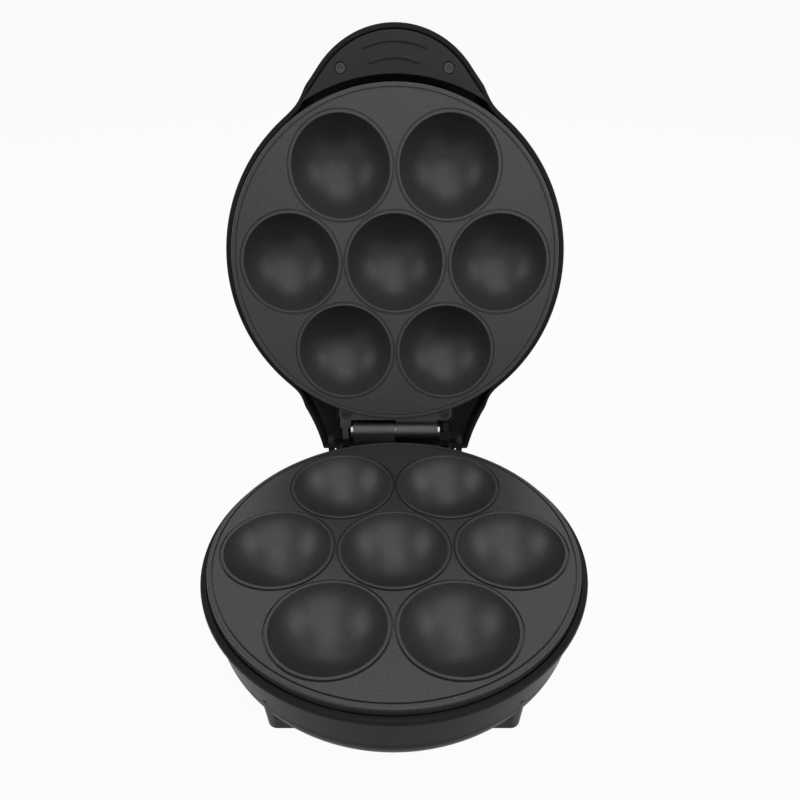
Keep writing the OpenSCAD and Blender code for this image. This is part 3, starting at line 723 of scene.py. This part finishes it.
@dataclass
class LidShell:
    """Moulded dome of the lid with its handle, rear skirt and lip, as one closed shell."""

    place: Place
    outline: Outline = field(default_factory=Outline)
    wall: float = 2.5
    depth: float = 38.0
    flat_r: float = 68.0
    turn_r: float = 94.6
    turn_h: float = 20.0
    body_r: float = 96.6
    lip_in: float = 95.5
    lip_h: float = 4.4
    lip_t: float = 2.4
    handle_low: float = 3.4
    handle_rim: float = 2.8
    skirt_low: float = 5.4
    skirt_rim: float = 2.2
    shoulder: float = 4.0
    columns: int = 520
    block_half: float = 37.0
    post_at: float = 70.0
    post_r: float = 5.2
    well_r: float = 4.2
    lamp_at: float = 60.0
    lamp_x: float = 8.0
    lamp_hole_r: float = 3.65

    def dome(self, r: np.ndarray, inset: float) -> np.ndarray:
        """Depth of the dome behind the ring crests: a flat, a quarter ellipse, then a slope away."""
        end = self.turn_r - inset
        t = np.clip((r - self.flat_r) / (end - self.flat_r), 0.0, 1.0)
        bend = (self.depth - inset - self.turn_h) * np.sqrt(1.0 - t * t)
        return self.turn_h + bend - np.maximum(r - end, 0.0)

    @staticmethod
    def handle_fall(r: np.ndarray) -> np.ndarray:
        """Depth of the handle's back, falling as a parabola from the dome to the tip."""
        return 22.6 - 7.7 * (np.maximum(r - 88.0, 0.0) / 35.0) ** 2

    @staticmethod
    def skirt_fall(r: np.ndarray) -> np.ndarray:
        """Depth of the skirt's back, almost level."""
        return 22.0 - 0.07 * np.maximum(r - 98.0, 0.0)

    def top_radii(self, inset: float) -> np.ndarray:
        """Radii of the rows from the dome's bend to the middle, even round the quarter ellipse."""
        a = np.linspace(0.06, math.pi / 2, 34)
        bend = self.flat_r + (self.turn_r - inset - self.flat_r) * np.cos(a)
        return np.concatenate([bend, self.flat_r * np.linspace(1.0, 0.0, 12)[1:]])

    def round_section(self, side: np.ndarray, inset: float, wall_rows: int) -> np.ndarray:
        """Section of the round part's skin, from its lip up its wall and over to the middle."""
        r = self.top_radii(inset)
        top = np.stack([r, self.dome(r, inset)], axis=1)
        t = np.linspace(0.0, 1.0, wall_rows + 1)[1:, None]
        wall = side[-1] * (1.0 - t) + top[0] * t
        return np.concatenate([side, wall, top[1:]])

    def outer(self, turns: np.ndarray, fall: Callable[[np.ndarray], np.ndarray], low: float,
              rim: float, wall_rows: int) -> tuple[np.ndarray, np.ndarray]:
        """Outer section of a stretch that reaches past the circle, for every column.

        Args:
            turns: angles of the columns.
            fall: depth of its back at a radius.
            low: depth of its rim.
            rim: width of its rim.
            wall_rows: rows of its shoulder and back, outside the dome's bend.

        Returns:
            Radius and depth, each with one row per profile point.
        """
        edge = self.outline.reach(turns, 0.0)[None]
        path = fillet([(-rim, 1.6, 0.0), (-rim, 0.0, 0.45), (0.0, 0.0, 0.8), (0.0, 3.0, 0.0)], 6)
        top = fall(edge - self.shoulder)
        a = np.linspace(0.0, math.pi / 2, 9)[:, None]
        bend_r = edge - self.shoulder * (1.0 - np.cos(a))
        bend_d = top - self.shoulder * (1.0 - np.sin(a))
        on_top = self.top_radii(0.0)[:, None] + 0.0 * edge
        t = np.linspace(0.0, 1.0, wall_rows - 8)[1:, None]
        across = (edge - self.shoulder) * (1.0 - t) + on_top[:1] * t
        r = np.concatenate([across, on_top[1:]])
        back = soft_max(self.dome(r, 0.0), fall(r), 5.0)
        radius = np.concatenate([edge + path[:, :1], edge + 0.0 * top, bend_r, r])
        depth = np.concatenate([low + path[:, 1:] + 0.0 * edge, 0.5 * (low + 3.0) + 0.5 * bend_d[:1],
                                bend_d, back])
        return radius, depth

    def inner(self, turns: np.ndarray, fall: Callable[[np.ndarray], np.ndarray], low: float,
              rim: float, wall_rows: int) -> tuple[np.ndarray, np.ndarray]:
        """Inner section of such a stretch, from its rim up its wall and over to the middle."""
        edge = self.outline.reach(turns, rim)[None]
        on_top = self.top_radii(self.wall)[:, None] + 0.0 * edge
        t = np.linspace(0.0, 1.0, wall_rows)[:, None]
        r = np.concatenate([(edge - 1.5) * (1.0 - t) + on_top[:1] * t, on_top[1:]])
        back = soft_max(self.dome(r, self.wall), fall(r) - self.wall, 5.0)
        wall = fall(edge) - self.wall - 1.5
        radius = np.concatenate([edge, edge, edge - 0.4, r])
        depth = np.concatenate([low + 1.6 + 0.0 * edge, wall, wall + 1.1, back])
        return radius, depth

    def shell(self) -> Patch:
        """The whole shell, each column blending the round section with the handle's or skirt's.

        Returns:
            One patch, closed round the lid, with both ends at the middle.
        """
        turns = self.outline.turns(self.columns)
        past = self.outline.reach(turns, 0.0) - self.outline.circle_r
        near = (np.cos(turns) > 0.0).astype(float)
        amount = smoothstep(past, 0.0, 7.0)
        weights = [amount * near, amount * (1.0 - near)]
        lip_side = fillet([(self.lip_in, self.lip_h + 1.6, 0.0), (self.lip_in, self.lip_h, 0.45),
                           (self.outline.circle_r, self.lip_h, 1.0),
                           (self.outline.circle_r, self.lip_h + self.lip_t, 0.0)], 6)
        lip_side = np.concatenate([lip_side, [[self.body_r, self.lip_h + self.lip_t + 0.7]]])
        section = self.round_section(lip_side, 0.0, 21)
        kinds = [(self.handle_fall, self.handle_low, self.handle_rim),
                 (self.skirt_fall, self.skirt_low, self.skirt_rim)]
        outer = [self.outer(turns, fall, low, rim, 21) for fall, low, rim in kinds]
        radius = section[:, :1] * (1.0 - weights[0] - weights[1])
        depth = section[:, 1:] * (1.0 - weights[0] - weights[1])
        for weight, (r, d) in zip(weights, outer):
            radius, depth = radius + weight * r, depth + weight * d
        inside = np.array([[self.lip_in, self.lip_h + 1.6], [self.lip_in, self.lip_h + 3.0],
                           [self.body_r - self.wall, self.lip_h + 3.4]])
        inside = self.round_section(inside, self.wall, 6)
        inner = [self.inner(turns, fall, low, rim, 6) for fall, low, rim in kinds]
        radius_in = inside[:, :1] * (1.0 - weights[0] - weights[1])
        depth_in = inside[:, 1:] * (1.0 - weights[0] - weights[1])
        for weight, (r, d) in zip(weights, inner):
            radius_in, depth_in = radius_in + weight * r, depth_in + weight * d
        radius = np.concatenate([radius_in[::-1], radius])
        depth = np.concatenate([depth_in[::-1], depth])
        points = np.stack([radius * np.sin(turns), radius * np.cos(turns), -depth], axis=-1)
        return Patch(points, wrap_columns=True)

    def post_places(self) -> list[tuple[float, float]]:
        """Where the plate's three screws go in."""
        turns = np.radians([30.0, 150.0, 270.0])
        return [(self.post_at * math.cos(a), self.post_at * math.sin(a)) for a in turns]

    def holes(self) -> list[Patch]:
        """The screws' wells and the two lamp holes, as plugs through the dome."""
        plugs = [(place, self.well_r) for place in self.post_places()]
        plugs += [((side * self.lamp_x, self.lamp_at), self.lamp_hole_r) for side in (-1.0, 1.0)]
        return [spin(np.array([(0.0, -31.0), (r, -31.0), (r, -45.0), (0.0, -45.0)])[::-1], 48, at)
                for at, r in plugs]

    def posts(self) -> list[Patch]:
        """The screws' posts: a floor under each head inside a short tube."""
        bore_r, tube_r = 2.0, self.well_r + 0.05
        path = np.array([(bore_r, -29.0), (bore_r, -32.0), (tube_r, -32.0), (tube_r, -35.0),
                         (self.post_r, -35.6), (self.post_r, -29.0), (bore_r, -29.0)])
        return [spin(path, 40, at) for at in self.post_places()]

    def make(self) -> None:
        """Build the shell, its screw posts and its hinge block."""
        shell = build("lid_shell", self.place, [self.shell()], GRAINED_NYLON,
                      ("lid_housing",))
        bore(shell, self.place, self.holes())
        shade(shell.data, 50.0)
        block = rounded_box((-self.block_half, -97.5, -21.0), (self.block_half, -88.0, -7.12), 0.6)
        build("lid_posts_and_block", self.place, [block] + self.posts(), GRAINED_NYLON,
              sharp_deg=50.0)


@dataclass
class HandleCover:
    """Underside cover of the handle with its two curved grip ridges."""

    place: Place
    outline: Outline = field(default_factory=Outline)
    face: float = 3.6
    thick: float = 2.2
    inset: float = 3.25
    slot_r: float = 98.6
    edge_round: float = 0.45
    ridge_radii: tuple[float, ...] = (43.0, 35.0)
    ridge_half_deg: float = 24.0
    ridge_half_w: float = 1.15
    ridge_h: float = 0.8
    screw_x: float = 29.0
    screw_v: float = 101.5
    head_room: float = 1.4

    def plate(self) -> Patch:
        """Closed band between the slot's arc and the outline, with rounded upper edges."""
        t = np.linspace(0.0, math.pi / 3, 3000)
        width = self.outline.reach(t, self.inset) - self.slot_r
        last = float(t[np.argmax(width < 0.0)])
        s = np.linspace(-1.0, 1.0, 181)
        turns = last * np.sign(s) * (1.0 - (1.0 - np.abs(s)) ** 1.25)
        outer = np.maximum(self.outline.reach(turns, self.inset), self.slot_r)
        room = np.minimum(self.edge_round, (outer - self.slot_r) / 2.0)
        a = np.linspace(0.0, math.pi / 2, 6)[:, None]
        low, face = self.face + self.thick, self.face
        radius = np.concatenate([
            np.full((1, len(s)), self.slot_r), self.slot_r + room * (1.0 - np.cos(a)),
            outer - room * (1.0 - np.sin(a)), outer[None]])
        depth = np.concatenate([
            np.full((1, len(s)), low), face + room * (1.0 - np.sin(a)),
            face + room * (1.0 - np.cos(a)), np.full((1, len(s)), low)])
        points = np.stack([radius * np.sin(turns), radius * np.cos(turns), -depth], axis=-1)
        return Patch(points, wrap_rows=True)

    def ridge(self, radius: float) -> Patch:
        """Half-round bar along an arc, its section shrinking as a quarter circle at each end."""
        half = math.radians(self.ridge_half_deg)
        s = np.linspace(-1.0, 1.0, 97)
        turns = half * s
        ends = 1.0 - np.clip((np.abs(s) * half * radius - half * radius + self.ridge_half_w)
                             / self.ridge_half_w, 0.0, 1.0) ** 2
        scale = np.sqrt(ends)
        a = np.linspace(0.0, math.pi, 13)[:, None]
        r = radius + self.ridge_half_w * np.cos(a) * scale
        h = -self.face + self.ridge_h * np.sin(a) ** 0.5 * scale - 0.02
        centre_v = self.outline.tip - self.outline.tip_r
        points = np.stack([r * np.sin(turns), centre_v + r * np.cos(turns), h], axis=-1)
        return Patch(points, wrap_rows=True)

    def screw_hole(self, side: float) -> Patch:
        """Stepped hole that sinks one screw's head."""
        seat = -self.face - self.head_room
        path = fillet([(0.0, 1.0 - self.face, 0.0), (3.2, 1.0 - self.face, 0.0), (3.2, seat, 0.0),
                       (1.9, seat, 0.0), (1.9, seat - 3.0, 0.0), (0.0, seat - 3.0, 0.0)], 1)
        return spin(path[::-1], 48, (side * self.screw_x, self.screw_v))

    def make(self) -> None:
        """Build the cover and its grip ridges."""
        cover = build("handle_cover_moulding", self.place, [self.plate()], FINE_NYLON,
                      ("handle_cover",))
        bore(cover, self.place, [self.screw_hole(-1.0), self.screw_hole(1.0)])
        shade(cover.data, 50.0)
        build("grip_ridges", self.place, [self.ridge(r) for r in self.ridge_radii], FINE_NYLON,
              sharp_deg=60.0)


@dataclass
class Studio:
    """Pale floor, plain soft light and the camera at the photograph's place."""

    base: Place
    camera_mm: tuple[float, float, float] = (2.91, -272.48, 258.19)
    tilt_deg: float = 54.68
    focal_mm: float = 32.469
    shift_v: float = 0.0549
    sky: float = 0.02
    paper: str = "#c8c8c8"
    glow: float = 0.95
    lamps: dict[str, tuple[tuple[float, float, float], float, float]] = field(
        default_factory=lambda: {"front_softbox": ((0.3, -1.2, 1.15), 1.9, 20.0),
                                 "left_softbox": ((-1.4, -0.3, 0.7), 1.0, 9.0),
                                 "right_softbox": ((1.4, -0.3, 0.7), 1.0, 9.0),
                                 "top_softbox": ((0.0, -0.1, 1.6), 1.0, 7.0),
                                 "rear_softbox": ((0.0, 1.0, 1.3), 1.0, 5.0)})

    @staticmethod
    def seen(tree: bpy.types.NodeTree) -> bpy.types.NodeSocket:
        """Give 1 for camera, glossy and transmission rays and 0 for the rest."""
        path = add_node(tree, "ShaderNodeLightPath")
        most = path.outputs["Is Camera Ray"]
        for name in ("Is Glossy Ray", "Is Transmission Ray"):
            step = add_node(tree, "ShaderNodeMath", {"operation": "MAXIMUM"})
            tree.links.new(most, step.inputs[0])
            tree.links.new(path.outputs[name], step.inputs[1])
            most = step.outputs["Value"]
        return most

    def camera(self) -> None:
        """Set the camera up where the photograph was taken from."""
        data = bpy.data.cameras.new("photo_camera")
        data.lens, data.sensor_width, data.shift_y = self.focal_mm, 36.0, self.shift_v
        data.clip_start, data.clip_end = 0.01, 50.0
        camera = bpy.data.objects.new("photo_camera", data)
        camera.location = self.base.carry(np.array(self.camera_mm))
        camera.rotation_euler = (math.radians(self.tilt_deg), 0.0, 0.0)
        bpy.context.scene.collection.objects.link(camera)
        bpy.context.scene.camera = camera

    def lamp(self, name: str, place: tuple[float, float, float], size: float,
             power: float) -> None:
        """Hang one square soft lamp, aimed at the machine's middle."""
        data = bpy.data.lights.new(name, "AREA")
        data.size, data.energy = size, power
        lamp = bpy.data.objects.new(name, data)
        lamp.location = place
        aim = np.array([0.0, 0.0, 0.1]) - np.array(place)
        lamp.rotation_euler = (math.atan2(math.hypot(aim[0], aim[1]), -aim[2]), 0.0,
                               math.atan2(-aim[0], aim[1]))
        bpy.context.scene.collection.objects.link(lamp)

    def world(self) -> None:
        """White to the camera and in reflections, dimmer as a source of light."""
        world = bpy.data.worlds.new("soft_studio")
        bpy.context.scene.world = world
        world.use_nodes = True
        tree = world.node_tree
        tree.nodes.clear()
        strength = add_node(tree, "ShaderNodeMapRange", {"To Min": self.sky, "To Max": 1.0},
                            {"Value": self.seen(tree)})
        light = add_node(tree, "ShaderNodeBackground", {"Color": (1.0, 1.0, 1.0, 1.0)},
                         {"Strength": strength.outputs["Result"]})
        add_node(tree, "ShaderNodeOutputWorld", None, {"Surface": light.outputs["Background"]})

    def floor(self) -> None:
        """Lay a wide white floor that shows white to the camera and still takes a soft shadow."""
        side = 6.0
        mesh = bpy.data.meshes.new("studio_floor")
        mesh.from_pydata([(-side, -side, 0), (side, -side, 0), (side, side, 0), (-side, side, 0)],
                         [], [(0, 1, 2, 3)])
        floor = bpy.data.objects.new("studio_floor", mesh)
        bpy.context.scene.collection.objects.link(floor)
        made = bpy.data.materials.new("white_paper_floor")
        made.use_nodes = True
        tree = made.node_tree
        tree.nodes.clear()
        paper = add_node(tree, "ShaderNodeBsdfDiffuse", {"Color": linear(self.paper)})
        glow = add_node(tree, "ShaderNodeEmission", {"Color": (1.0, 1.0, 1.0, 1.0)})
        share = add_node(tree, "ShaderNodeMath", {"operation": "MULTIPLY"})
        share.inputs[1].default_value = self.glow
        tree.links.new(self.seen(tree), share.inputs[0])
        mix = add_node(tree, "ShaderNodeMixShader", None, {"Fac": share.outputs["Value"]})
        tree.links.new(paper.outputs["BSDF"], mix.inputs[1])
        tree.links.new(glow.outputs["Emission"], mix.inputs[2])
        add_node(tree, "ShaderNodeOutputMaterial", None, {"Surface": mix.outputs["Shader"]})
        mesh.materials.append(made)

    def make(self) -> None:
        """Set up the camera, the floor and the light."""
        self.camera()
        self.floor()
        self.world()
        for name, (place, size, power) in self.lamps.items():
            self.lamp(name, place, size, power)
        bpy.context.scene.view_settings.view_transform = "Standard"


@dataclass
class Machine:
    """The whole machine: where its two halves lie and the pieces on them."""

    crest_gap: float = 0.4

    def base_place(self) -> Place:
        """The base's drawing frame: over the middle of its plate, at its ring crests."""
        low, high = (np.array(corner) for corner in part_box("base_cooking_plate"))
        middle = (low + high) / 2.0
        return Place(np.eye(3), np.array([0.0, middle[1], high[2]]), Body.BASE)

    def lid_place(self) -> Place:
        """The lid's drawing frame: the base's, turned over the hinge and opened as it rests."""
        base = self.base_place()
        hinge = frame["record"]["behaviour"]["joints"][0]
        axis = np.array(hinge["pos_m"])
        opening = math.radians(hinge["range_deg"][1])
        across = np.array([0.0, -math.cos(opening), math.sin(opening)])
        out = np.array([0.0, -math.sin(opening), -math.cos(opening)])
        reach = axis - base.origin - np.array([0.0, 0.0, self.crest_gap * MM])
        origin = axis + across * reach[1] + out * reach[2]
        turn = np.stack([np.array([1.0, 0.0, 0.0]), across, out], axis=1)
        return Place(turn, origin, Body.LID)

    def make(self) -> None:
        """Build every piece in order."""
        base, lid = self.base_place(), self.lid_place()
        Studio(base).make()
        CookingPlate("base_plate_casting", "base_cooking_plate", base).make()
        CookingPlate("lid_plate_casting", "lid_cooking_plate", lid).make()
        LidShell(lid).make()
        HandleCover(lid).make()
        smooth_copy("base_housing", "base_shell", Body.BASE, GRAINED_NYLON)
        smooth_copy("base_hinge_leaf", "base_leaf", Body.BASE, DARK_PLATED_STEEL)
        smooth_copy("lid_hinge_leaf", "lid_leaf", Body.LID, DARK_PLATED_STEEL)
        smooth_copy("hinge_pin", "hinge_rod", Body.BASE, TURNED_STEEL)
        smooth_copy("handle_cover_screws", "handle_screws", Body.LID, BLACK_OXIDE)
        smooth_copy("base_hinge_screws", "base_leaf_screws", Body.BASE, BLACK_OXIDE)
        smooth_copy("lid_hinge_screws", "lid_leaf_screws", Body.LID, BLACK_OXIDE)
        smooth_copy("foot_pads", "rubber_feet", Body.BASE, MOULDED_RUBBER)
        smooth_copy("cord_gland", "lead_bush", Body.BASE, MOULDED_RUBBER)
        smooth_copy("bottom_cover", "vented_cover", Body.BASE, FINE_NYLON)
        for node, finish in {"bottom_cover_screws": BRIGHT_ZINC, "base_plate_screws": BRIGHT_ZINC,
                             "lid_plate_screws": BRIGHT_ZINC, "base_heat_shield": ROLLED_STEEL,
                             "lid_heat_shield": ROLLED_ALUMINIUM,
                             "base_heating_element": OXIDISED_SHEATH,
                             "lid_heating_element": OXIDISED_SHEATH,
                             "thermostat": PALE_CERAMIC, "base_thermal_fuse": PALE_CERAMIC,
                             "lid_thermal_fuse": PALE_CERAMIC, "terminal_block": PALE_NYLON,
                             "cord_clamp": PALE_NYLON, "lamp_holder": PALE_NYLON,
                             "power_lamp_lens": RED_LENS, "ready_lamp_lens": GREEN_LENS}.items():
            keep(node, finish)


def main() -> None:
    """Build the machine."""
    logging.basicConfig(level=logging.INFO, format="%(name)s %(message)s")
    Machine().make()


if __name__ == "__main__":
    main()
